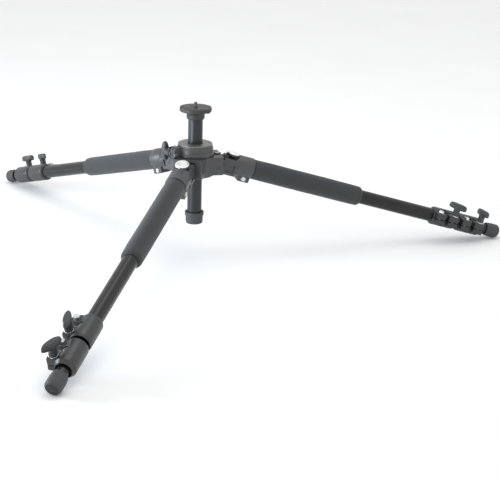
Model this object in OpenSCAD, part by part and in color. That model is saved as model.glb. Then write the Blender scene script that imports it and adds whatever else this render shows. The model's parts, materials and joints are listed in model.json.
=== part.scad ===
// Three-legged camera support with a short centre column and a round head plate.
// Frame: +Z up, origin at the foot of the head stud, where its axis leaves the plate.

/* [Column] */
// Outer diameter of the centre column tube
column_d = 28; // [26:0.5:28]
// Wall thickness of the centre column tube
column_wall = 1.8; // [1.2:0.1:2.4]
// Diameter of the round head plate
plate_d = 61; // [56:1:66]
// Height of the head plate's face above the shoulder's underside
plate_h = 128; // [122:1:140]
// Depth of the column's lower end below the shoulder's underside
column_drop = 80; // [60:1:110]
// Length of the stud that stands out of the head plate
stud_len = 9.5; // [7:0.5:12]

/* [Shoulder] */
// Width of each shoulder arm
arm_w = 59; // [56:1:62]
// Distance from the column axis to each arm's end
arm_reach = 50; // [49:0.5:52]
// Height of the shoulder casting
shoulder_h = 35; // [35:0.5:37]
// Outer radius of the shoulder between its arms
shoulder_r = 38; // [37:0.5:39]

/* [Collar] */
// Radius of the column clamp's lower flare
collar_r = 37; // [36:0.5:37.5]
// Height of the column clamp above the shoulder
collar_h = 23; // [22:0.5:24]
// Direction in which the clamp's two lugs point, in degrees
lug_az = 231; // [228:1:240]

/* [Legs] */
// Angle of each leg below the horizontal, in degrees
leg_slope = 16.4; // [16:0.1:18]
// Distance from the column axis to each leg's hinge
hinge_r = 39; // [38.5:0.5:40]
// Height of each leg's hinge above the shoulder's underside
hinge_z = 16; // [15.5:0.1:16.4]
// Outer diameter of the upper leg tube
upper_d = 28; // [27.5:0.1:28]
// Outer diameter of the middle leg tube
mid_d = 24.4; // [24:0.1:24.4]
// Outer diameter of the lower leg tube
lower_d = 20.6; // [20:0.1:20.6]
// Diameter of the foam grip
grip_d = 40; // [38:0.5:42]
// Length of the foam grip
grip_len = 236; // [200:1:240]

/* [Clamps] */
// Outer diameter of the tube clamps' barrels
clamp_d = 37; // [36:0.5:38]
// Length of each tube clamp
clamp_len = 55; // [54:0.5:56]
// Length of each wing knob's bar
wing_len = 41; // [38:1:44]

/* [Feet] */
// Diameter of each rubber foot
foot_d = 28.4; // [26:0.2:29]
// Length of each rubber foot
foot_len = 33; // [30:0.5:38]

/* [Hidden] */
// Each leg's name, direction, and the resting turn of its upper and lower wing knob
LEGS = [["front", 270, 13, -26], ["right", 30, -46, -80], ["left", 150, -11, 10]];
LEG_PARTS = ["leg_casting", "angle_button", "stop_pawl", "sleeve_screw", "upper_tube",
    "foam_grip", "upper_clamp", "upper_fasteners", "upper_knob", "mid_tube",
    "lower_clamp", "lower_fasteners", "lower_knob", "lower_tube", "foot"];
$fn = 96;
e = 0.01;                       // overshoot of a cut past the face it opens
run = 0.06;                     // radial gap of a running fit
gap = 0.3;                      // gap between pieces that move past each other
seat = 0.03;                    // gap where a piece is seated in another

// Colours
casting_c = "#5f5f62";
metal_c = "#c9c9c7";
tube_c = "#1d1d20";
foam_c = "#55565a";
knob_c = "#4a4b50";
rubber_c = "#47484a";

// Column and shoulder
column_r = column_d / 2;
bush_r = column_r + 2;          // outer radius of the column's plastic bush
barrel_r = 21.8;                // wall round the bush inside the leg slots
web_t = 3.5;                    // roof over each leg slot
hub_drop = 4;                   // how far the shoulder's middle hangs below its arms
slot_w = 34;                    // width of each leg slot
pin_r = 4;                      // hinge pin

// Leg, measured along its length from the hinge
tongue_w = slot_w - 0.8;
tube_rise = 7.1;                // height of the tube's axis above the hinge
tongue_r = 15;                  // round end of the tongue, about the hinge
sleeve_r = 21;
sleeve_start = 33;              // the sleeve widens from here to its full radius
sleeve_full = 42;
sleeve_end = 75.5;
upper_start = 47;
grip_start = sleeve_end + seat;
button_u = 30.2;                // button axis
button_r = 13.5;
button_top = 23;                // heights above the tube's axis
button_h = 6.6;
saddle_top = 11.4;
clamp1_u = 477;
clamp2_u = 537;
foot_u = 607;
upper_end = clamp1_u + 20;
mid_start = 62;
mid_end = clamp2_u + 19;
lower_start = 68;
tube_wall = 1.5;
upper_r = upper_d / 2;
mid_r = mid_d / 2;
lower_r = lower_d / 2;
clamp_r = clamp_d / 2;
screw_w = 21;                   // clamp screws' distance from the tube's axis
ear_reach = 29;                 // ears' outer edge
ear_top = 13;                   // ears' height above and below the tube's axis
ear_low = 10.5;
ear_slit = 2;
stud_r = 3.175;                 // quarter-inch stud

// ---- helpers ----
function arc(cx, cy, r, a0, a1, n = 8) =
    [for (i = [0:n]) let (a = a0 + (a1 - a0) * i / n) [cx + r * cos(a), cy + r * sin(a)]];

module at_hub() { translate([0, 0, -plate_h]) children(); }

// Leg frame: X out along the leg, Z up, origin on the hinge
module on_leg(az)
    at_hub() rotate([0, 0, az]) translate([hinge_r, 0, hinge_z]) rotate([0, leg_slope, 0])
        children();

// Tube frame: Z out along the tube, X up, Y to the ears' side
module on_tube(az)
    on_leg(az) translate([0, 0, tube_rise]) rotate([0, 90, 0]) rotate([0, 0, 180]) children();

module pipe(r_out, r_in, z0, z1)
    translate([0, 0, z0]) difference() {
        cylinder(r = r_out, h = z1 - z0);
        translate([0, 0, -e]) cylinder(r = r_in, h = z1 - z0 + 2 * e);
    }

// A turned solid with rounded rims: radius r, between z0 and z1
module puck(r, z0, z1, round_low = 1, round_high = 1)
    rotate_extrude() polygon(concat([[0, z0]],
        arc(r - round_low, z0 + round_low, round_low, -90, 0),
        arc(r - round_high, z1 - round_high, round_high, 0, 90), [[0, z1]]));

module round_square(w, h, r) {
    square([w - 2 * r, h], center = true);
    square([w, h - 2 * r], center = true);
    for (x = [-1, 1]) for (y = [-1, 1])
        translate([x * (w / 2 - r), y * (h / 2 - r)]) circle(r = r, $fn = 48);
}

module hex_nut(across, h, hole_r) difference() {
    intersection() {
        cylinder(r = across / sqrt(3), h = h, $fn = 6);
        puck(across / 2 + 0.6, 0, h, 0.6, 0.6);
    }
    translate([0, 0, -e]) cylinder(r = hole_r, h = h + 2 * e);
}

module washer(r_out, h, hole_r) difference() {
    puck(r_out, 0, h, 0.4, 0.4);
    translate([0, 0, -e]) cylinder(r = hole_r, h = h + 2 * e);
}

// ---- shoulder ----
fillet_r = 9;
fillet_y = arm_w / 2 + fillet_r;
fillet_x = sqrt(pow(shoulder_r + fillet_r, 2) - pow(fillet_y, 2));

module arm_outline() {
    translate([0, -arm_w / 2]) square([arm_reach - 2, arm_w]);
    translate([arm_reach / 2, 0]) round_square(arm_reach, arm_w, 2);
    for (m = [0, 1]) mirror([0, m]) difference() {
        polygon([[fillet_x, fillet_y] * shoulder_r / (shoulder_r + fillet_r),
            [fillet_x - 6, arm_w / 2 - 3], [fillet_x, arm_w / 2 - 3], [fillet_x, fillet_y]]);
        translate([fillet_x, fillet_y]) circle(r = fillet_r);
    }
}

module shoulder() color(casting_c) at_hub() difference() {
    union() {
        puck(shoulder_r, -hub_drop, shoulder_h, 3, 1);
        for (leg = LEGS) rotate([0, 0, leg[1]])
            linear_extrude(height = shoulder_h) arm_outline();
    }
    translate([0, 0, -hub_drop - e]) cylinder(r = bush_r + run, h = shoulder_h + hub_drop + 1);
    for (leg = LEGS) rotate([0, 0, leg[1]]) {
        difference() {
            translate([0, -slot_w / 2, -hub_drop - 1])
                cube([arm_reach + 1, slot_w, shoulder_h - web_t + hub_drop + 1]);
            translate([0, 0, -hub_drop - 2]) cylinder(r = barrel_r, h = shoulder_h + 8);
        }
        translate([hinge_r, 0, hinge_z]) rotate([90, 0, 0])
            cylinder(r = pin_r + seat, h = arm_w + 2, center = true);
    }
}

module hinge_pins() color(tube_c) at_hub() for (leg = LEGS) rotate([0, 0, leg[1]])
    translate([hinge_r, 0, hinge_z]) rotate([-90, 0, 0])
        translate([0, 0, -arm_w / 2 + 0.4]) puck(pin_r, 0, arm_w - 0.8, 0.5, 0.5);

// ---- column clamp ----
collar_z = shoulder_h + seat;
collar_top = collar_z + collar_h;
ring_h = 1.4;
lug_screw_z = shoulder_h + 5.6;
lug_screw_r = 47;
lug_end = 51;                   // rounded outer end of the lugs
lug_w = 13;
lug_spacer = 5;                 // sleeve between the lug and the knob's washer
lug_high = shoulder_h + 19.5;

// Lug frame: X out from the column, Y along the clamp screw, towards the knob
module on_lug() at_hub() rotate([0, 0, lug_az]) mirror([0, 1, 0]) children();

module column_collar() color(casting_c) {
    at_hub() difference() {
        union() {
            rotate_extrude() polygon([[0, collar_z], [collar_r - 1.5, collar_z],
                [collar_r, collar_z + 1.5], [collar_r, collar_z + 5], [collar_r - 2, collar_z + 7],
                [collar_r - 2, collar_z + 15.4], [collar_r - 2.9, collar_z + 16.2],
                [collar_r - 2.9, collar_z + 17.2], [collar_r - 3.4, collar_z + 18],
                [collar_r - 3.8, collar_top - ring_h], [0, collar_top - ring_h]]);
            rotate([0, 0, lug_az]) collar_lug();
        }
        translate([0, 0, collar_z - 5]) cylinder(r = bush_r + run, h = collar_h + 6);
        rotate([0, 0, lug_az]) translate([0, -1, collar_z - 5])
            cube([lug_end + 10, 2, collar_h + 6]);
        rotate([0, 0, lug_az]) translate([lug_screw_r, 0, lug_screw_z]) rotate([90, 0, 0])
            cylinder(r = 3.2, h = 40, center = true);
        for (a = [0:2]) rotate([0, 0, 30 + 120 * a]) translate([27, 0, collar_z + 8])
            cylinder(r = 1.6, h = collar_h);
    }
}

module collar_lug() rotate([90, 0, 0]) translate([0, 0, -lug_w / 2])
    linear_extrude(height = lug_w) union() {
        translate([20, collar_z]) square([lug_end - 20, lug_high - collar_z - 7]);
        translate([20, collar_z]) square([lug_end - 27, lug_high - collar_z]);
        translate([lug_end - 7, lug_high - 7]) circle(r = 7);
    }

module collar_top_ring() color("#9a9a94") at_hub() difference() {
    rotate_extrude() polygon([[bush_r - 1, collar_top - ring_h + seat],
        [collar_r - 3.9, collar_top - ring_h + seat], [collar_r - 3.9, collar_top - 0.5],
        [collar_r - 4.4, collar_top], [bush_r - 1, collar_top]]);
    for (a = [0:2]) rotate([0, 0, 30 + 120 * a]) translate([27, 0, 0])
        cylinder(r = 2.6, h = collar_top + 1);
}

module collar_fasteners() color(metal_c) {
    at_hub() for (a = [0:2]) rotate([0, 0, 30 + 120 * a]) translate([27, 0, 0]) difference() {
        union() {
            translate([0, 0, collar_z + 12]) cylinder(r = 1.5, h = 9.4);
            translate([0, 0, collar_top - ring_h + seat]) puck(2.4, 0, 1.1, 0.1, 0.3);
        }
        translate([0, 0, collar_top - 0.9]) cylinder(r = 1.2, h = 2, $fn = 6);
    }
    on_lug() translate([lug_screw_r, 0, lug_screw_z]) rotate([-90, 0, 0]) {
        translate([0, 0, -lug_w / 2 - 3.5 - seat]) puck(5, 0, 3.5, 1.2, 0.1);
        translate([0, 0, -lug_w / 2 - 1]) cylinder(r = 3, h = lug_w + lug_spacer + 14);
        translate([0, 0, lug_w / 2 + seat]) washer(6.2, lug_spacer - seat, 3.1);
        translate([0, 0, lug_w / 2 + lug_spacer + seat]) washer(8, 1.6, 3.1);
    }
}

// ---- level ----
level_r = 43.9;
module on_level() at_hub() rotate([0, 0, LEGS[1][1]]) translate([level_r, 0, shoulder_h + seat])
    children();

module level_housing() color(tube_c) on_level() difference() {
    puck(6.7, 0, 2.6, 0.2, 0.7);
    translate([0, 0, 0.8]) cylinder(r = 5, h = 3);
}

module level_vial() color("#3b4032") on_level() puck(4.9, 0.85, 2.5, 0.2, 0.6);

// ---- centre column ----
module column_bush() color(tube_c) at_hub()
    pipe(bush_r, column_r + run, -hub_drop + 0.5, collar_top - ring_h - 0.5);

module column_tube() color("#333538") at_hub()
    pipe(column_r, column_r - column_wall, -column_drop, plate_h - 22);

neck_z = plate_h - 23;
module top_plate() color(casting_c) at_hub() difference() {
    union() {
        rotate_extrude() polygon(concat(
            [[0, neck_z + 1.2], [column_r, neck_z + 1.2], [column_r + 0.5, neck_z],
             [column_r + 1.6, neck_z], [column_r + 3.3, neck_z + 2], [column_r + 3.3, neck_z + 9.5],
             [column_r + 4.4, neck_z + 11.5], [plate_d / 2 - 8, neck_z + 14.7]],
            arc(plate_d / 2 - 1.4, neck_z + 16.6, 1.4, -90, 0),
            arc(plate_d / 2 - 1.2, plate_h - 1.2, 1.2, 0, 90), [[0, plate_h]]));
        translate([0, 0, neck_z - 14]) cylinder(r = column_r - column_wall - seat, h = 16);
        rotate([0, 0, -8]) translate([23.8, 0, plate_h - 9.2]) puck(6.4, 0, 6, 1, 0.1);
    }
    translate([0, 0, plate_h - 8]) cylinder(r = 4 + seat, h = 9);
    translate([0, 0, neck_z - 15]) cylinder(r = 8, h = 22);
    rotate([0, 0, -8]) translate([23.8, 0, plate_h - 10]) cylinder(r = 2 + seat, h = 11);
    for (r = [9, 27]) translate([0, 0, plate_h - 0.5]) difference() {
        cylinder(r = r, h = 1);
        translate([0, 0, -e]) cylinder(r = r - 0.7, h = 2);
    }
}

module head_stud() color(metal_c) at_hub() difference() {
    union() {
        translate([0, 0, plate_h - 8 + seat]) cylinder(r = 4, h = 8 - seat);
        translate([0, 0, plate_h]) cylinder(r = stud_r, h = stud_len - 0.8);
        translate([0, 0, plate_h + stud_len - 0.8])
            cylinder(r1 = stud_r, r2 = stud_r - 0.8, h = 0.8);
    }
    translate([0, 0, plate_h + stud_len - 1.2]) translate([-5, -0.5, 0]) cube([10, 1, 2]);
}

module plate_set_screw() color(metal_c) at_hub() rotate([0, 0, -8])
    translate([23.8, 0, plate_h - 8.6]) difference() {
        cylinder(r = 2, h = 8.3);
        translate([0, 0, -e]) cylinder(r = 1.1, h = 2.5, $fn = 6);
    }

module column_cap() color(rubber_c) at_hub() difference() {
    union() {
        puck(column_r + 4.5, -column_drop - 6.5, -column_drop + 1, 1, 1);
        rotate_extrude() polygon(concat([[0, -column_drop - 22.5]],
            arc(column_r, -column_drop - 20, 2.5, -90, 0),
            [[column_r + 3.2, -column_drop - 6], [0, -column_drop - 6]]));
        translate([0, 0, -column_drop - 1])
            cylinder(r = column_r - column_wall - seat, h = 13);
    }
    translate([0, 0, -column_drop]) difference() {
        cylinder(r = column_r + 2.6, h = 2);
        translate([0, 0, -e]) cylinder(r = column_r - column_wall - seat, h = 3);
    }
}

// ---- wing knob: Z along its screw, bar along X ----
wing_low = 13.5;                // bar's underside above the knob's seat
wing_high = 26.5;
wing_t = 13;
module wing_knob() color(knob_c) {
    bulge_r = (pow(wing_len / 2, 2) + pow(wing_t / 2, 2)) / wing_t;
    difference() {
        union() {
            rotate_extrude() polygon([[0, 0], [7.4, 0], [7.4, 1.6], [6.6, 4.4], [6.4, 9],
                [7.4, wing_low + 1.5], [7.4, wing_low + 4], [0, wing_low + 4]]);
            intersection() {
                rotate([90, 0, 0]) translate([0, 0, -wing_t])
                    linear_extrude(height = 2 * wing_t) wing_side();
                linear_extrude(height = wing_high + 2) intersection() {
                    translate([0, bulge_r - wing_t / 2 - 0.8]) circle(r = bulge_r, $fn = 128);
                    translate([0, -bulge_r + wing_t / 2 + 0.8]) circle(r = bulge_r, $fn = 128);
                    round_square(wing_len, wing_t, 2.2);
                }
            }
        }
        translate([0, 0, -e]) cylinder(r = 3.1, h = 12.5);
    }
}

// Outline of the bar seen across the screw
module wing_side() polygon(concat(
    arc(-wing_len / 2 + 2.5, wing_low + 2.5, 2.5, 180, 260, 5),
    [[-8, wing_low + 1.2], [8, wing_low + 1.2]],
    arc(wing_len / 2 - 2.5, wing_low + 2.5, 2.5, -80, 0, 5),
    arc(wing_len / 2 - 6.5, wing_high - 6.8, 6, 5, 80, 8),
    arc(-wing_len / 2 + 6.5, wing_high - 6.8, 6, 100, 175, 8)));

module column_knob() on_lug()
    translate([lug_screw_r, lug_w / 2 + lug_spacer + 1.6 + 3 * seat, lug_screw_z])
        rotate([-90, 0, 0]) rotate([0, 0, 90]) wing_knob();

// ---- leg casting ----
screw_u = 62.7;                 // socket screw of the sleeve's clamp
module leg_casting(az) color(casting_c) difference() {
    union() {
        on_leg(az) {
            rotate([90, 0, 0]) cylinder(r = tongue_r, h = tongue_w, center = true);
            translate([0, -tongue_w / 2, -tongue_r + 1.5]) cube([13, tongue_w, 2 * tongue_r - 3.2]);
            translate([12.5, -tongue_w / 2, -13.5])
                cube([28, tongue_w, saddle_top + tube_rise + 13.5]);
        }
        on_tube(az) {
            rotate_extrude() polygon([[0, sleeve_start], [tongue_w / 2, sleeve_start],
                [sleeve_r - 1, sleeve_full - 1], [sleeve_r, sleeve_full + 1],
                [sleeve_r, sleeve_end - 1], [sleeve_r - 1, sleeve_end], [0, sleeve_end]]);
            translate([-28, -15, 50]) sleeve_lugs();
        }
    }
    on_leg(az) {
        rotate([90, 0, 0]) cylinder(r = pin_r + run, h = tongue_w + 2, center = true);
        for (m = [0, 1]) mirror([0, m]) translate([0, -tongue_w / 2 + 2.5, 0])
            rotate([90, 0, 0]) linear_extrude(height = 4) pocket();
        translate([button_u, 0, tube_rise + saddle_top]) {
            cylinder(r = button_r + 1.6, h = 20);
            translate([0, 0, -14]) cylinder(r = 6 + gap, h = 15);
        }
        translate([12.4, -8 - gap, tube_rise + 1]) cube([10.2, 16 + 2 * gap, 20]);
    }
    on_tube(az) {
        translate([0, 0, upper_start - gap]) cylinder(r = upper_r + seat, h = 60);
        translate([-30, -1, upper_start + 2]) cube([24, 2, 40]);
        translate([-22, 0, screw_u]) rotate([-90, 0, 0]) {
            translate([0, 0, -20]) cylinder(r = 2.6, h = 40);
            translate([0, 0, 5]) cylinder(r = 5.4, h = 20);
            translate([0, 0, -31.5]) cylinder(r = 5.4, h = 20);
        }
    }
}

// Triangular relief in each side of the casting, below the button
module pocket() polygon(concat(arc(19.5, -6.5, 1.5, 135, 270, 4),
    arc(34.5, -6.5, 1.5, -90, 0, 4), arc(34.5, 6, 1.5, 0, 135, 4)));

module sleeve_lugs() rotate([-90, 0, 0]) mirror([0, 1, 0]) linear_extrude(height = 23.5) union() {
    translate([0, 3]) square([16, 18.5]);
    translate([3, 0]) square([13, 24.5]);
    for (y = [3, 21.5]) translate([3, y]) circle(r = 3);
}

module sleeve_screw(az) color(metal_c) on_tube(az) translate([-22, 0, screw_u])
    rotate([-90, 0, 0]) {
        difference() {
            union() {
                translate([0, 0, -15.5]) cylinder(r = 2.5, h = 21);
                translate([0, 0, 5 + seat]) puck(4.6, 0, 4.6, 0.1, 0.8);
            }
            translate([0, 0, 6.6]) cylinder(r = 2.3, h = 5, $fn = 6);
        }
        translate([0, 0, -11.5 - 3.6 - seat]) hex_nut(8.4, 3.6, 2.5 + seat);
    }

// ---- angle lock ----
module angle_button(az) color("#e9e9e7") on_leg(az)
    translate([button_u, 0, tube_rise + button_top - button_h]) difference() {
        union() {
            puck(button_r, 0, button_h, 1.2, 1.6);
            translate([0, 0, -10.5]) cylinder(r = 6, h = 11);
        }
        translate([0, 0, 60 + button_h - 0.7]) sphere(r = 60, $fn = 128);
    }

module stop_pawl(az) color(tube_c) on_leg(az)
    translate([17.5, 0, tube_rise + 5.2]) linear_extrude(height = button_top - button_h - 5.4)
        difference() {
            round_square(9.4, 16, 2);
            translate([button_u - 17.5, 0]) circle(r = 6.4 + gap);
        }

// ---- tubes and grip ----
module upper_tube(az) color(tube_c) on_tube(az)
    pipe(upper_r, upper_r - tube_wall, upper_start, upper_end);

module mid_tube(az) color(tube_c) on_tube(az)
    pipe(mid_r, mid_r - tube_wall, mid_start, mid_end);

module lower_tube(az) color("#2a2b2e") on_tube(az)
    pipe(lower_r, lower_r - tube_wall, lower_start, foot_u + 20);

module foam_grip(az) color(foam_c) on_tube(az) difference() {
    puck(grip_d / 2, grip_start, grip_start + grip_len, 1.5, 3);
    cylinder(r = upper_r + seat, h = 400);
}

// ---- tube clamps ----
clamp_gap_u = 22;               // where the cross slot parts the fixed and the clamping half
knob_u = 43;
bolt_u = 11.5;
head_sink = 4;                  // depth of the bolt heads' seats in the ears' undersides

// Barrel and two pairs of ears; r_low is the radius at its lower rim
module clamp_shape(len, r_low) {
    rotate_extrude() polygon(concat([[0, 0]],
        arc(clamp_r - 5, 5, 5, -90, 0),
        arc(clamp_r - 2, min(len, clamp_len) - 4, 2, 0, 40, 3),
        [[r_low, len - 0.8], [r_low - 0.8, len], [0, len]]));
    for (u = [1.5, clamp_gap_u + 8])
        translate([0, 8, u]) ear(u > 10 ? min(len, clamp_len) - u - 3 : clamp_gap_u - 2);
}

module ear(h) rotate([-90, 0, 0]) mirror([0, 1, 0])
    translate([(ear_top - ear_low) / 2, h / 2, 0])
        linear_extrude(height = ear_reach - 8) round_square(ear_top + ear_low, h, 1.5);

// Bore, slots, bolt holes and the wider mouth (mouth_r, from mouth_u on) of one clamp
module clamp_cuts(tube_r, tube_len, inner_r, mouth_r, mouth_u) {
    translate([0, 0, -1]) cylinder(r = tube_r + seat, h = tube_len + 1);
    translate([0, 0, -1]) cylinder(r = inner_r + gap, h = 90);
    translate([0, 0, mouth_u]) cylinder(r = mouth_r, h = 20);
    translate([-ear_slit / 2, 4, -1]) cube([ear_slit, 40, 90]);
    translate([-30, 5, clamp_gap_u]) cube([60, 40, 4]);
    translate([-30, clamp_r - 1.5, clamp_gap_u - 1]) cube([60, 40, 9.4]);
    for (u = [bolt_u, knob_u]) translate([0, screw_w, u]) rotate([0, 90, 0]) {
        cylinder(r = 3.2, h = 40, center = true);
        translate([0, 0, -ear_low - 1]) cylinder(r = 5.8, h = head_sink + 1);
    }
}

// Bolt, nuts and washers of one tube clamp
module clamp_fasteners() {
    translate([0, screw_w, bolt_u]) rotate([0, 90, 0]) {
        translate([0, 0, ear_top + seat]) hex_nut(10, 4.4, 3 + seat);
        translate([0, 0, -ear_low + 1]) cylinder(r = 3, h = ear_low + ear_top + 3.8);
        translate([0, 0, -ear_low + 0.4]) puck(5.4, 0, head_sink - 0.4 - seat, 0.8, 0.1);
    }
    translate([0, screw_w, knob_u]) rotate([0, 90, 0]) {
        translate([0, 0, ear_top + seat]) washer(7.8, 1.8, 3 + seat);
        translate([0, 0, -ear_low + 1]) cylinder(r = 3, h = ear_low + ear_top + 11);
        translate([0, 0, -ear_low + 0.4]) puck(5.4, 0, head_sink - 0.4 - seat, 0.8, 0.1);
    }
}

module upper_clamp(az) color(casting_c) on_tube(az) translate([0, 0, clamp1_u]) difference() {
    clamp_shape(clamp_len, clamp_r - 0.8);
    clamp_cuts(upper_r, upper_end - clamp1_u + gap, mid_r, clamp_r - 2.5, clamp_len - 7);
}

lower_clamp_len = clamp_len + 3;
module lower_clamp(az) color(casting_c) on_tube(az) translate([0, 0, clamp2_u]) difference() {
    clamp_shape(lower_clamp_len, clamp_r - 3.2);
    clamp_cuts(mid_r, mid_end - clamp2_u + gap, lower_r, clamp_r - 5, lower_clamp_len - 7);
}

module upper_fasteners(az) color(metal_c) on_tube(az) translate([0, 0, clamp1_u])
    clamp_fasteners();

module lower_fasteners(az) color(metal_c) on_tube(az) translate([0, 0, clamp2_u])
    clamp_fasteners();

module leg_knob(az, u, turn) on_tube(az)
    translate([ear_top + 1.8 + 3 * seat, screw_w, u + knob_u]) rotate([0, 90, 0])
        rotate([0, 0, turn]) wing_knob();

module upper_knob(az, turn) leg_knob(az, clamp1_u, turn);
module lower_knob(az, turn) leg_knob(az, clamp2_u, turn);

// ---- foot ----
module foot(az) color(rubber_c) on_tube(az) translate([0, 0, foot_u]) difference() {
    r = foot_d / 2;
    rotate_extrude() polygon(concat([[0, 0], [r - 2, 0], [r - 1, 1], [r, 10]],
        arc(r - 8, foot_len - 9, 8, 0, 75, 10), [[3, foot_len], [0, foot_len]]));
    translate([0, 0, -1]) cylinder(r = lower_r + 1.4, h = 4);
    translate([0, 0, -1]) cylinder(r = lower_r + seat, h = 21 + seat);
    for (g = [3.4, 6.2, 9]) translate([0, 0, foot_len - 1.2 - 0.03 * g * g]) difference() {
        cylinder(r = g + 0.6, h = 9);
        translate([0, 0, -e]) cylinder(r = g - 0.6, h = 10);
    }
}

// ---- assembly ----
shoulder();
hinge_pins();
column_collar();
collar_top_ring();
collar_fasteners();
level_housing();
level_vial();
column_bush();
column_tube();
top_plate();
head_stud();
plate_set_screw();
column_cap();
column_knob();
for (leg = LEGS) {
    leg_casting(leg[1]);
    angle_button(leg[1]);
    stop_pawl(leg[1]);
    sleeve_screw(leg[1]);
    upper_tube(leg[1]);
    foam_grip(leg[1]);
    upper_clamp(leg[1]);
    upper_fasteners(leg[1]);
    upper_knob(leg[1], leg[2]);
    mid_tube(leg[1]);
    lower_clamp(leg[1]);
    lower_fasteners(leg[1]);
    lower_knob(leg[1], leg[3]);
    lower_tube(leg[1]);
    foot(leg[1]);
}
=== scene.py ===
import json
import math
import bmesh
import bpy
from mathutils import Matrix, Vector, noise


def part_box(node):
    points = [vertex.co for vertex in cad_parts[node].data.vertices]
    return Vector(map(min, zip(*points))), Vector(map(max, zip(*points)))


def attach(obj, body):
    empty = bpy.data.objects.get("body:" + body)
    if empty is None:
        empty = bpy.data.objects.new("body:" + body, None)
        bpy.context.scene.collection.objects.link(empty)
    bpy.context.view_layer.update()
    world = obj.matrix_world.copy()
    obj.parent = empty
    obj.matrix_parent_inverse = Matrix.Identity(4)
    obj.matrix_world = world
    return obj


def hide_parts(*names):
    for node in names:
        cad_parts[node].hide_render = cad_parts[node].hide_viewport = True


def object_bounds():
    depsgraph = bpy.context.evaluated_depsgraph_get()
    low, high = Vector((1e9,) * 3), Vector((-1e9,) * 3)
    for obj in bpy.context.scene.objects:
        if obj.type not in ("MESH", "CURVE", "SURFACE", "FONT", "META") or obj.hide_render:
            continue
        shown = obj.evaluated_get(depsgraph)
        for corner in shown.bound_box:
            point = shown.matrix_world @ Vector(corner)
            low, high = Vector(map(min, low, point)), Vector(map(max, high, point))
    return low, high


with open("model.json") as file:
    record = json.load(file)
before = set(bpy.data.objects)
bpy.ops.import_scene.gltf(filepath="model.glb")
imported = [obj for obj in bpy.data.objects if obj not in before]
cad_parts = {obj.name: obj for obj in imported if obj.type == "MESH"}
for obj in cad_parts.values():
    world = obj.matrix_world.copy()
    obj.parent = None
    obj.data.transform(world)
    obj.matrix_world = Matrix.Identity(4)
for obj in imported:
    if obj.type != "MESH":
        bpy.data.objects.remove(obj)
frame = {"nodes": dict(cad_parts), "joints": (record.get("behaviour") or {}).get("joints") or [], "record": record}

CAD_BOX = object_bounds()
MM = 0.001
LEGS = ("front", "right", "left")
JOINTS = {j["name"]: j for j in frame["joints"]}
BODY_OF = {n: b for b, ns in frame["record"]["behaviour"]["bodies"].items() for n in ns}
SLOT_OF = {row["node"]: row["material_slot"] for row in frame["record"]["subparts"]}
WELD = 0.002 * MM                       # vertices nearer than this become one
SHARP_ANGLE = math.radians(28)          # edges steeper than this are shaded as edges


# ---------------------------------------------------------------- camera
# The camera stands in front of the front leg, a little to its right, and looks down on the hub.
CAMERA_AT = Vector((0.6721, -2.0374, 0.4854))
CAMERA_TURN = math.radians(15.28)       # heading, to the left of +Y
CAMERA_PITCH = math.radians(19.77)      # below the horizon
CAMERA_ROLL = math.radians(1.82)
LENS_MM = 82.82
SENSOR_MM = 36.0
VIEW_DEPTH = 60                         # metres that the camera sees


def add_camera():
    data = bpy.data.cameras.new("camera")
    data.lens = LENS_MM
    data.sensor_width = SENSOR_MM
    data.clip_end = VIEW_DEPTH
    camera = bpy.data.objects.new("camera", data)
    bpy.context.scene.collection.objects.link(camera)
    turn = Matrix.Rotation(CAMERA_TURN, 4, "Z")
    tilt = Matrix.Rotation(math.pi / 2 - CAMERA_PITCH, 4, "X")
    roll = Matrix.Rotation(CAMERA_ROLL, 4, "Z")
    camera.matrix_world = Matrix.Translation(CAMERA_AT) @ turn @ tilt @ roll
    bpy.context.scene.camera = camera


# ---------------------------------------------------------------- material helpers
NOISE_LOW, NOISE_HIGH = 0.3, 0.7        # between these lies most of a cloudy noise


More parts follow.
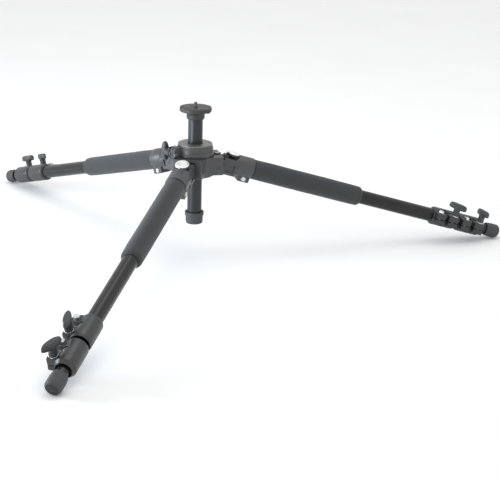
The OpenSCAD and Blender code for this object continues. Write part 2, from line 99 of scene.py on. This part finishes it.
class Look:
    """A principled material and a short way to add nodes to it."""

    def __init__(self, name, color, roughness, metallic=0.0, specular=0.5):
        self.mat = bpy.data.materials.new(name)
        self.mat.use_nodes = True
        self.tree = self.mat.node_tree
        self.bsdf = self.tree.nodes["Principled BSDF"]
        self.color = color              # linear light, as every colour in this script
        self.bsdf.inputs["Base Color"].default_value = (*color, 1)
        self.bsdf.inputs["Roughness"].default_value = roughness
        self.bsdf.inputs["Metallic"].default_value = metallic
        self.bsdf.inputs["Specular IOR Level"].default_value = specular
        self.place = self.node("ShaderNodeTexCoord").outputs["Object"]

    def node(self, kind, **values):
        n = self.tree.nodes.new(kind)
        for key, value in values.items():
            if key in n.inputs:
                n.inputs[key].default_value = value
            else:
                setattr(n, key, value)
        return n

    def link(self, a, b):
        self.tree.links.new(a, b)

    def noise(self, size_mm, detail=3.0, rough=0.55, place=None):
        """Cloudy noise whose features are about size_mm across."""
        n = self.node("ShaderNodeTexNoise", Scale=1000.0 / size_mm, Detail=detail, Roughness=rough)
        self.link(place or self.place, n.inputs["Vector"])
        return n.outputs["Fac"]

    def stretched(self, scale):
        """Coordinates stretched by a factor on each axis."""
        n = self.node("ShaderNodeMapping")
        n.inputs["Scale"].default_value = scale
        self.link(self.place, n.inputs["Vector"])
        return n.outputs["Vector"]

    def ramp(self, source, *stops):
        """Colour between two stops, each a (noise value, colour)."""
        n = self.node("ShaderNodeValToRGB")
        for point, (value, color) in zip(n.color_ramp.elements, stops):
            point.position = value
            point.color = (*color, 1)
        self.link(source, n.inputs["Fac"])
        return n.outputs["Color"]

    def spread(self, source, low, high):
        """A cloudy noise mapped to the range from low to high."""
        n = self.node("ShaderNodeMapRange")
        n.inputs["From Min"].default_value = NOISE_LOW
        n.inputs["From Max"].default_value = NOISE_HIGH
        n.inputs["To Min"].default_value = low
        n.inputs["To Max"].default_value = high
        self.link(source, n.inputs["Value"])
        return n.outputs["Result"]

    def tint(self, source, amount):
        """Colour that varies by a share of the base colour."""
        dark = tuple(c * (1 - amount) for c in self.color)
        light = tuple(min(c * (1 + amount), 1) for c in self.color)
        color = self.ramp(source, (NOISE_LOW, dark), (NOISE_HIGH, light))
        self.link(color, self.bsdf.inputs["Base Color"])

    def rough(self, source, low, high):
        self.link(self.spread(source, low, high), self.bsdf.inputs["Roughness"])

    def bump(self, *layers):
        """Each layer is (height source, depth in millimetres)."""
        last = None
        for source, depth in layers:
            n = self.node("ShaderNodeBump", Strength=1.0, Distance=depth * MM)
            self.link(source, n.inputs["Height"])
            if last is not None:
                self.link(last, n.inputs["Normal"])
            last = n.outputs["Normal"]
        self.link(last, self.bsdf.inputs["Normal"])

    def add(self, a, b, factor):
        """a plus b times factor."""
        n = self.node("ShaderNodeMath", operation="MULTIPLY_ADD")
        n.inputs[1].default_value = factor
        self.link(b, n.inputs[0])
        self.link(a, n.inputs[2])
        return n.outputs[0]


# ---------------------------------------------------------------- finishes
def casting_look():
    """Fine-grained grey coat of the die castings."""
    m = Look("casting_coat", (0.055, 0.055, 0.057), 0.42)
    cloud = m.noise(16, 3)
    grain = m.noise(0.6, 3, 0.7)
    m.tint(m.add(grain, cloud, 0.35), 0.12)
    m.rough(cloud, 0.36, 0.46)
    m.bump((grain, 0.05), (m.noise(1.8, 2), 0.03))
    return m.mat


def clamp_look():
    """A darker and glossier coat, on the tube clamps."""
    m = Look("clamp_coat", (0.034, 0.034, 0.036), 0.34)
    grain = m.noise(0.5, 3, 0.7)
    m.tint(grain, 0.1)
    m.rough(m.noise(14, 3), 0.28, 0.38)
    m.bump((grain, 0.03), (m.noise(2.2, 2), 0.02))
    return m.mat


def painted_edge_highlight_look():
    """Painted highlight on the clamps' bevelled edges: the dark coat colour mottled with a light alloy colour."""
    m = Look("painted_edge_highlight", (0.3, 0.3, 0.31), 0.3, metallic=0.6)
    edge_mottle = m.noise(1.4, 4, 0.75)
    # The lighter of these two colours is a painted highlight on the edges, not coat rubbed thin.
    coat, highlight_tone = (0.06, 0.06, 0.063), (0.36, 0.36, 0.38)
    m.link(m.ramp(edge_mottle, (0.42, coat), (0.56, highlight_tone)), m.bsdf.inputs["Base Color"])
    m.rough(edge_mottle, 0.26, 0.4)
    m.bump((edge_mottle, 0.02))
    return m.mat


def plate_look():
    """Textured coat of the head plate."""
    m = Look("plate_coat", (0.034, 0.033, 0.032), 0.44)
    grain = m.noise(0.9, 4)
    m.tint(grain, 0.35)
    m.rough(m.noise(6, 3), 0.42, 0.62)
    m.bump((grain, 0.07))
    return m.mat


def ring_look():
    """Bead-blasted alloy."""
    m = Look("blasted_ring", (0.2, 0.2, 0.19), 0.42, metallic=0.6)
    speck = m.noise(1.1, 4, 0.75)
    m.tint(speck, 0.6)
    m.rough(speck, 0.34, 0.5)
    m.bump((speck, 0.03))
    return m.mat


def anodised_look():
    """Satin anodising, faintly drawn along the column."""
    m = Look("anodised_column", (0.022, 0.023, 0.026), 0.35, metallic=0.2)
    draw = m.noise(1.2, 3, place=m.stretched((1, 1, 0.02)))
    m.tint(draw, 0.12)
    m.rough(draw, 0.33, 0.38)
    m.bump((draw, 0.004))
    return m.mat


def tube_look():
    """Gloss black tube."""
    m = Look("gloss_tube", (0.009, 0.0085, 0.008), 0.14, specular=0.42)
    haze = m.noise(22, 3)
    m.tint(haze, 0.3)
    m.rough(haze, 0.19, 0.26)
    m.bump((m.noise(6, 2), 0.004))
    return m.mat


def knob_look():
    """Moulded nylon with a fine grain."""
    m = Look("moulded_nylon", (0.038, 0.039, 0.043), 0.38)
    grain = m.noise(0.7, 3)
    m.tint(m.noise(7, 3), 0.1)
    m.rough(grain, 0.33, 0.45)
    m.bump((grain, 0.03))
    return m.mat


def black_look():
    """Plain black nylon."""
    m = Look("black_nylon", (0.016, 0.016, 0.017), 0.4)
    grain = m.noise(0.8, 3)
    m.tint(grain, 0.3)
    m.rough(grain, 0.34, 0.5)
    m.bump((grain, 0.02))
    return m.mat


def rubber_look():
    """Dull moulded rubber."""
    m = Look("moulded_rubber", (0.041, 0.042, 0.045), 0.6)
    grain = m.noise(0.9, 4)
    m.tint(m.add(grain, m.noise(8, 3), 0.8), 0.2)
    m.rough(grain, 0.52, 0.68)
    m.bump((grain, 0.09))
    return m.mat


def foam_look():
    """Closed-cell foam: cells, a grain and a soft sheen."""
    m = Look("cell_foam", (0.036, 0.037, 0.04), 0.85, specular=0.3)
    cells = m.node("ShaderNodeTexVoronoi", Scale=1100.0)
    m.link(m.place, cells.inputs["Vector"])
    cloud = m.noise(14, 4)
    grain = m.noise(1.3, 4, 0.65)
    m.tint(m.add(grain, cloud, 0.5), 0.24)
    m.rough(grain, 0.78, 0.94)
    m.bump((grain, 0.2), (cells.outputs["Distance"], 0.08))
    m.bsdf.inputs["Sheen Weight"].default_value = 0.15
    m.bsdf.inputs["Sheen Roughness"].default_value = 0.5
    return m.mat


def zinc_look():
    """Bright plating of screws and nuts."""
    m = Look("bright_zinc", (0.72, 0.72, 0.73), 0.24, metallic=1.0)
    swirl = m.noise(2.5, 4, 0.6)
    m.tint(swirl, 0.07)
    m.rough(swirl, 0.16, 0.3)
    m.bump((m.noise(0.5, 2), 0.006))
    return m.mat


def dark_steel_look():
    """Duller steel of the head stud and of the column clamp's screws."""
    m = Look("dark_steel", (0.16, 0.16, 0.17), 0.3, metallic=0.9)
    swirl = m.noise(2.5, 4, 0.6)
    m.tint(swirl, 0.15)
    m.rough(swirl, 0.24, 0.36)
    m.bump((m.noise(0.5, 2), 0.006))
    return m.mat


def button_look():
    """Polished disc of the angle buttons."""
    m = Look("polished_disc", (0.86, 0.86, 0.85), 0.2, metallic=0.75)
    haze = m.noise(5, 3)
    m.tint(haze, 0.05)
    m.rough(haze, 0.14, 0.28)
    m.bump((m.noise(0.5, 2), 0.004))
    return m.mat


def vial_look():
    """Tinted window of the level."""
    m = Look("level_window", (0.05, 0.06, 0.03), 0.08)
    m.tint(m.noise(2.5, 2), 0.3)
    m.bsdf.inputs["Coat Weight"].default_value = 1.0
    m.bsdf.inputs["Coat Roughness"].default_value = 0.05
    m.bump((m.noise(4, 1), 0.01))
    return m.mat


LOOKS = {                               # finishes by the record's material slots
    "casting": casting_look(),
    "plate": plate_look(),
    "collar_ring": ring_look(),
    "anodised": anodised_look(),
    "leg_tube": tube_look(),
    "knob": knob_look(),
    "black_plastic": black_look(),
    "rubber": rubber_look(),
    "foam": foam_look(),
    "zinc": zinc_look(),
    "button": button_look(),
    "vial": vial_look(),
}
# Nodes whose finish differs from the usual one of their slot
CLAMP_COAT = clamp_look()
# Painted highlight material for the bevelled edges of the tube clamps
PAINTED_EDGE_HIGHLIGHT = painted_edge_highlight_look()
LOOK_OF = {leg + part: CLAMP_COAT for leg in LEGS for part in ("_upper_clamp", "_lower_clamp")}
LOOK_OF["collar_fasteners"] = LOOK_OF["head_stud"] = dark_steel_look()
LOOK_OF["hinge_pins"] = LOOKS["casting"]
LOOK_OF.update({leg + "_stop_pawl": LOOKS["knob"] for leg in LEGS})


def paint(obj, node):
    """Gives an object the finish of a CAD node."""
    obj.data.materials.clear()
    obj.data.materials.append(LOOK_OF.get(node, LOOKS[SLOT_OF[node]]))


def paint_cad():
    for name, obj in frame["nodes"].items():
        paint(obj, name)


# ---------------------------------------------------------------- places, worked out from the frame
TUBE_RISE = 7.1 * MM                    # height of a tube's axis above its leg's hinge


def leg_frame(leg):
    """Tube frame of a leg: Z out along the tube, X up, Y towards the clamps' ears."""
    hinge = Vector(JOINTS[leg + "_leg_fold"]["pos_m"])
    out = Vector(JOINTS[leg + "_mid_slide"]["axis"]).normalized()
    up = Vector(JOINTS[leg + "_upper_knob_turn"]["axis"]).normalized()
    turn = Matrix((up, out.cross(up), out)).transposed().to_4x4()
    return Matrix.Translation(hinge + up * TUBE_RISE) @ turn


def span(node, matrix):
    """Lowest and highest corner of a CAD node's vertices in another frame."""
    inverse = matrix.inverted()
    points = [inverse @ v.co for v in frame["nodes"][node].data.vertices]
    low = Vector([min(p[i] for p in points) for i in range(3)])
    high = Vector([max(p[i] for p in points) for i in range(3)])
    return low, high


def screw_frame(joint, node):
    """Frame of a knob: Z along its screw from the knob's seat, X along its bar."""
    z = Vector(JOINTS[joint]["axis"]).normalized()
    points = [v.co - Vector(JOINTS[joint]["pos_m"]) for v in frame["nodes"][node].data.vertices]
    seat = min(p.dot(z) for p in points)
    x = z.orthogonal().normalized()
    y = z.cross(x)
    cc = ss = 0.0
    for p in points:
        a, b = p.dot(x), p.dot(y)
        cc += a * a - b * b
        ss += 2 * a * b
    angle = 0.5 * math.atan2(ss, cc)    # main direction of the vertices round the screw
    bar = x * math.cos(angle) + y * math.sin(angle)
    turn = Matrix((bar, z.cross(bar), z)).transposed().to_4x4()
    return Matrix.Translation(Vector(JOINTS[joint]["pos_m"]) + z * seat) @ turn


# ---------------------------------------------------------------- mesh helpers
def new_object(name, mesh):
    obj = bpy.data.objects.new(name, mesh)
    bpy.context.scene.collection.objects.link(obj)
    return obj


def loft(rings, closed=False):
    """Quads between rings of points. Closed joins the last ring to the first, else both are capped."""
    bm = bmesh.new()
    rows = [[bm.verts.new(p) for p in ring] for ring in rings]
    pairs = list(zip(rows, rows[1:]))
    if closed:
        pairs.append((rows[-1], rows[0]))
    for a, b in pairs:
        for i in range(len(a)):
            k = (i + 1) % len(a)
            bm.faces.new((a[i], a[k], b[k], b[i]))
    if not closed:
        for row, flip in ((rows[0], True), (rows[-1], False)):
            middle = bm.verts.new(sum((v.co for v in row), Vector()) / len(row))
            for i in range(len(row)):
                a, b = row[i], row[(i + 1) % len(row)]
                bm.faces.new((b, a, middle) if flip else (a, b, middle))
    bmesh.ops.recalc_face_normals(bm, faces=bm.faces)
    mesh = bpy.data.meshes.new("shape")
    bm.to_mesh(mesh)
    bm.free()
    mesh.shade_smooth()
    return mesh


def apply_modifiers(obj):
    depsgraph = bpy.context.evaluated_depsgraph_get()
    mesh = bpy.data.meshes.new_from_object(obj.evaluated_get(depsgraph))
    obj.modifiers.clear()
    obj.data = mesh
    return mesh


def stand_for(piece, node):
    """piece takes a CAD node's place, finish and motion."""
    paint(piece, node)
    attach(piece, BODY_OF[node])
    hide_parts(node)


# ---------------------------------------------------------------- foam grips
GRIP_SIDES = 120
GRIP_STEPS = 70                         # rings along the straight of a sleeve
GRIP_START = 2.5 * MM                   # rounding at the hub end
GRIP_END = 7 * MM                       # rounding at the far end
GRIP_SKIN = 0.1 * MM                    # room kept inside the CAD's radius
FOAM_BORE = 14.06 * MM
BORE_LIP = 0.6 * MM                     # chamfer at the mouths of the bore
OUTER_WALL = 3 * MM                     # past this above the bore, the foam is uneven
NIP = 0.5 * MM                          # how much the ends are drawn in
WAVE_LENGTH = 26 * MM                   # of the unevenness along the sleeve
WAVE_RADIUS = 1.3                       # of the circle followed through the noise
FINE_WAVE = 3.1                         # how much shorter the fine waves are
BROAD_DEPTH, FINE_DEPTH = 0.28, 0.12    # mm
SUNK = 0.2                              # mm, so that the waves stay inside the CAD's radius


def quarter_turn(steps):
    return [math.pi / 2 * i / steps for i in range(steps + 1)]


def grip_profile(low, high, radius):
    """(radius, height) round a foam sleeve, up its outside and back down its bore."""
    start, end = GRIP_START, GRIP_END
    points = []
    for a in quarter_turn(6):
        points.append((radius - start * (1 - math.sin(a)), low + start * (1 - math.cos(a))))
    for i in range(1, GRIP_STEPS):
        points.append((radius, low + start + (high - end - low - start) * i / GRIP_STEPS))
    for a in quarter_turn(12):
        points.append((radius - end * (1 - math.cos(a)), high - end + end * math.sin(a)))
    points.append((FOAM_BORE + BORE_LIP, high))
    points.append((FOAM_BORE, high - BORE_LIP))
    points.append((FOAM_BORE, low + BORE_LIP))
    points.append((FOAM_BORE + BORE_LIP, low))
    return points


def foam_grip(leg):
    """A pressed-on closed-cell foam sleeve: slightly uneven, nipped in at its ends."""
    node = leg + "_foam_grip"
    place = leg_frame(leg)
    low, high = span(node, place)
    radius = high.x - GRIP_SKIN
    middle, half = (low.z + high.z) / 2, (high.z - low.z) / 2
    rings = []
    for r, z in grip_profile(low.z, high.z, radius):
        ring = []
        along = (z - middle) / half
        nip = NIP * abs(along) ** 6
        for i in range(GRIP_SIDES):
            a = 2 * math.pi * i / GRIP_SIDES
            direction = Vector((math.cos(a), math.sin(a), 0))
            wave = 0.0
            if r > FOAM_BORE + OUTER_WALL:
                at = direction * WAVE_RADIUS + Vector((0, 0, z / WAVE_LENGTH)) + place.translation
                broad = noise.noise(at) * BROAD_DEPTH
                fine = noise.noise(at * FINE_WAVE) * FINE_DEPTH
                wave = (broad + fine - SUNK) * MM - nip
            ring.append(direction * (r + wave) + Vector((0, 0, z)))
        rings.append(ring)
    piece = new_object(leg + "_foam_sleeve", loft(rings, closed=True))
    piece.data.transform(place)
    stand_for(piece, node)


# ---------------------------------------------------------------- wing knobs
BAR_HALF = 20.3 * MM                    # half of the bar's length
BAR_THICK = 6.4 * MM                    # half of its thickness
BAR_LOW = 13.7 * MM
BAR_HIGH = 26.4 * MM
BAR_SQUARE = 3.6                        # how square the bar's section is; 2 would be round
BAR_TOP_LENGTH = 0.3                    # length on top and below, as a share of the full length
BAR_TOP_THICK = 0.12                    # thickness there, as a share of the full one
BAR_TAPER = 0.05                        # how much the bar shortens towards its top
BAR_BLUNT = 0.86                        # below 1 makes the bar's ends blunter
BAR_LEAF = 1.18                         # above 1 thins the bar towards its ends
BAR_STEPS = 18
BAR_SIDES = 72
# Height and radius up the stem, in mm
STEM = ((0, 7.0), (0.7, 7.35), (2.2, 7.3), (4.5, 6.7), (9, 6.6), (13, 7.0), (19, 7.2))
STEM_SIDES = 64
FLUTES = 8
FLUTE_DEPTH = 0.35                      # mm
FLUTED = (2, 12)                        # mm of the stem's height that are fluted
MERGE_VOXEL = 0.5 * MM
SOFTEN_PASSES = 6


def bar_rings():
    """A leaf-shaped bar with softly rounded edges, as rings at rising heights."""
    rings = []
    for k in range(BAR_STEPS + 1):
        t = -math.cos(math.pi * k / BAR_STEPS)              # -1 at the underside, 1 on top
        full = max(1 - abs(t) ** BAR_SQUARE, 0.0) ** (1 / BAR_SQUARE)
        reach = BAR_HALF * (BAR_TOP_LENGTH + (1 - BAR_TOP_LENGTH) * full) * (1 - BAR_TAPER * (t + 1))
        thick = BAR_THICK * (BAR_TOP_THICK + (1 - BAR_TOP_THICK) * full)
        z = (BAR_LOW + BAR_HIGH) / 2 + (BAR_HIGH - BAR_LOW) / 2 * t
        ring = []
        for i in range(BAR_SIDES):
            a = 2 * math.pi * i / BAR_SIDES
            c, s = math.cos(a), math.sin(a)
            x = math.copysign(abs(c) ** BAR_BLUNT, c)
            y = math.copysign(abs(s) ** BAR_LEAF, s)
            ring.append(Vector((reach * x, thick * y, z)))
        rings.append(ring)
    return rings


def stem_rings():
    """The round stem under the bar, fluted between its collars."""
    rings = []
    for z, r in STEM:
        depth = FLUTE_DEPTH if FLUTED[0] < z < FLUTED[1] else 0
        ring = []
        for i in range(STEM_SIDES):
            a = 2 * math.pi * i / STEM_SIDES
            reach = r - depth * (1 + math.cos(a * FLUTES)) / 2
            ring.append(Vector((reach * math.cos(a), reach * math.sin(a), z)) * MM)
        rings.append(ring)
    return rings


def wing_mesh():
    """Bar and stem merged into one moulding, with a fillet where they meet."""
    joined = bmesh.new()
    for rings in (bar_rings(), stem_rings()):
        part = loft(rings)
        joined.from_mesh(part)
        bpy.data.meshes.remove(part)
    mesh = bpy.data.meshes.new("wing_knob")
    joined.to_mesh(mesh)
    joined.free()
    obj = new_object("wing_knob_mould", mesh)
    remesh = obj.modifiers.new("merge", "REMESH")
    remesh.mode = "VOXEL"
    remesh.voxel_size = MERGE_VOXEL
    soften = obj.modifiers.new("soften", "SMOOTH")
    soften.factor = 0.5
    soften.iterations = SOFTEN_PASSES
    mesh = apply_modifiers(obj)
    bpy.data.objects.remove(obj)
    mesh.shade_smooth()
    return mesh


def wing_knobs():
    """The same moulding on every clamp screw, turned as its CAD knob is."""
    mould = wing_mesh()
    for joint in frame["joints"]:
        node = joint["child"]
        if not node.endswith("_knob"):
            continue
        piece = new_object(node + "_wing", mould.copy())
        piece.data.transform(screw_frame(joint["name"], node))
        stand_for(piece, node)


# ---------------------------------------------------------------- head stud
STUD_R = 3.17 * MM
STUD_SIDES = 40
STUD_CHAMFER = 0.8 * MM
THREAD_PITCH = 1.27 * MM
THREAD_DEPTH = 0.42 * MM
THREAD_START = 1.2 * MM                 # plain length above the plate
THREAD_STEPS = 8                        # rings to one turn of the thread


def head_stud():
    """The quarter-inch stud with its thread and a chamfered tip."""
    low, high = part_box("head_stud")
    rings = []
    count = int((high.z - low.z) / (THREAD_PITCH / THREAD_STEPS))
    for k in range(count + 1):
        z = low.z + (high.z - low.z) * k / count
        fade = min(max((z - THREAD_START) / MM, 0), 1) * min(max((high.z - z) / MM, 0), 1)
        tip = max(z - (high.z - STUD_CHAMFER), 0)
        ring = []
        for i in range(STUD_SIDES):
            a = 2 * math.pi * i / STUD_SIDES
            phase = (z / THREAD_PITCH - i / STUD_SIDES) % 1
            groove = THREAD_DEPTH * (1 - abs(2 * phase - 1)) * fade
            r = STUD_R - groove - tip
            ring.append(Vector((r * math.cos(a), r * math.sin(a), z)))
        rings.append(ring)
    piece = new_object("head_stud_threaded", loft(rings))
    stand_for(piece, "head_stud")


# ---------------------------------------------------------------- angle lock buttons
BUTTON_DISC = 2.4 * MM                  # thickness of the bright disc on the dark button


def angle_button(leg):
    """The CAD button, cut at the disc's underside so that the rest can be dark."""
    node = leg + "_angle_button"
    place = leg_frame(leg)
    up = place.col[0].to_3d()
    cut = place @ Vector((span(node, place)[1].x - BUTTON_DISC, 0, 0))
    bm = bmesh.new()
    bm.from_mesh(frame["nodes"][node].data)
    bmesh.ops.remove_doubles(bm, verts=bm.verts, dist=WELD)
    everything = bm.verts[:] + bm.edges[:] + bm.faces[:]
    bmesh.ops.bisect_plane(bm, geom=everything, plane_co=cut, plane_no=up)
    for face in bm.faces:
        face.smooth = True
        face.material_index = 0 if (face.calc_center_median() - cut).dot(up) > 0 else 1
    mesh = bpy.data.meshes.new(node + "_disc")
    bm.to_mesh(mesh)
    bm.free()
    mesh.set_sharp_from_angle(angle=SHARP_ANGLE)
    piece = new_object(node + "_disc", mesh)
    bright_or_dark = [f.material_index for f in mesh.polygons]
    stand_for(piece, node)
    mesh.materials.append(LOOKS["knob"])
    mesh.polygons.foreach_set("material_index", bright_or_dark)


# ---------------------------------------------------------------- castings with softened edges
SOFT_EDGES = {                          # piece of a leg or of the hub: edge radius in mm
    "shoulder": 0.9, "top_plate": 0.5, "leg_casting": 0.8,
    "upper_clamp": 0.55, "lower_clamp": 0.55,
}
FLAT_ANGLE = math.radians(0.6)          # faces that meet flatter than this are joined
BEVEL_ANGLE = math.radians(32)          # edges steeper than this are rounded


def softened(node, radius):
    """A copy of a CAD node's mesh with its sharp edges rounded over."""
    bm = bmesh.new()
    bm.from_mesh(frame["nodes"][node].data)
    bmesh.ops.remove_doubles(bm, verts=bm.verts, dist=WELD)
    bmesh.ops.dissolve_limit(bm, angle_limit=FLAT_ANGLE, verts=bm.verts, edges=bm.edges)
    mesh = bpy.data.meshes.new(node + "_soft")
    bm.to_mesh(mesh)
    bm.free()
    piece = new_object(node + "_cast", mesh)
    bevel = piece.modifiers.new("edges", "BEVEL")
    bevel.width = radius * MM
    bevel.segments = 3
    bevel.limit_method = "ANGLE"
    bevel.angle_limit = BEVEL_ANGLE
    bevel.use_clamp_overlap = True
    bevel.miter_outer = "MITER_ARC"
    stand_for(piece, node)
    # The clamps' bevel faces get the painted edge highlight material.
    if LOOK_OF.get(node) is CLAMP_COAT:
        piece.data.materials.append(PAINTED_EDGE_HIGHLIGHT)
        bevel.material = 1
    mesh = apply_modifiers(piece)
    mesh.shade_smooth()
    mesh.set_sharp_from_angle(angle=SHARP_ANGLE)


def castings():
    """Rounds the edges of every piece that SOFT_EDGES names."""
    for node in sorted(frame["nodes"]):
        part = node.split("_", 1)[1] if node.split("_")[0] in LEGS else node
        if part in SOFT_EDGES:
            softened(node, SOFT_EDGES[part])


# ---------------------------------------------------------------- studio
FLOOR_GAP = 0.4 * MM                    # under the feet
FLOOR_SIZE = 40
SKY = 0.95                              # strength of the white all round
LIGHT_AIM = (0, 0, -0.1)
COOL = (0.78, 0.9, 1.0)
WHITE = (1, 1, 1)
LIGHTS = (                              # name, place, size, watts, colour
    ("softbox_left", (-2.07, -0.75, 0.2), (0.4, 0.9), 32, COOL),
    ("strip_low", (-0.36, -0.48, -0.18), (0.08, 0.22), 1.5, COOL),
    ("softbox_top", (0.2, 0.3, 2.3), (1.6, 1.6), 12, WHITE),
)


def area_light(name, at, size, power, color):
    data = bpy.data.lights.new(name, "AREA")
    data.shape = "RECTANGLE"
    data.size, data.size_y = size
    data.energy = power
    data.color = color
    light = bpy.data.objects.new(name, data)
    bpy.context.scene.collection.objects.link(light)
    light.location = at
    light.rotation_euler = (Vector(LIGHT_AIM) - Vector(at)).to_track_quat("-Z", "Y").to_euler()


def studio():
    """A pale floor under white light, with a cool softbox and a low strip on the left."""
    low = CAD_BOX[0][2]
    bpy.ops.mesh.primitive_plane_add(size=FLOOR_SIZE, location=(0, 0, low - FLOOR_GAP))
    floor = bpy.context.object
    floor.name = "studio_floor"
    pale = Look("pale_floor", (0.9, 0.9, 0.9), 0.9, specular=0.1)
    pale.tint(pale.noise(400, 2), 0.01)
    floor.data.materials.append(pale.mat)
    world = bpy.data.worlds.new("studio_white")
    world.use_nodes = True
    background = world.node_tree.nodes["Background"]
    background.inputs["Color"].default_value = (*WHITE, 1)
    background.inputs["Strength"].default_value = SKY
    bpy.context.scene.world = world
    for light in LIGHTS:
        area_light(*light)
    bpy.context.scene.view_settings.view_transform = "Standard"


add_camera()
paint_cad()
for name in LEGS:
    foam_grip(name)
    angle_button(name)
wing_knobs()
head_stud()
castings()
studio()
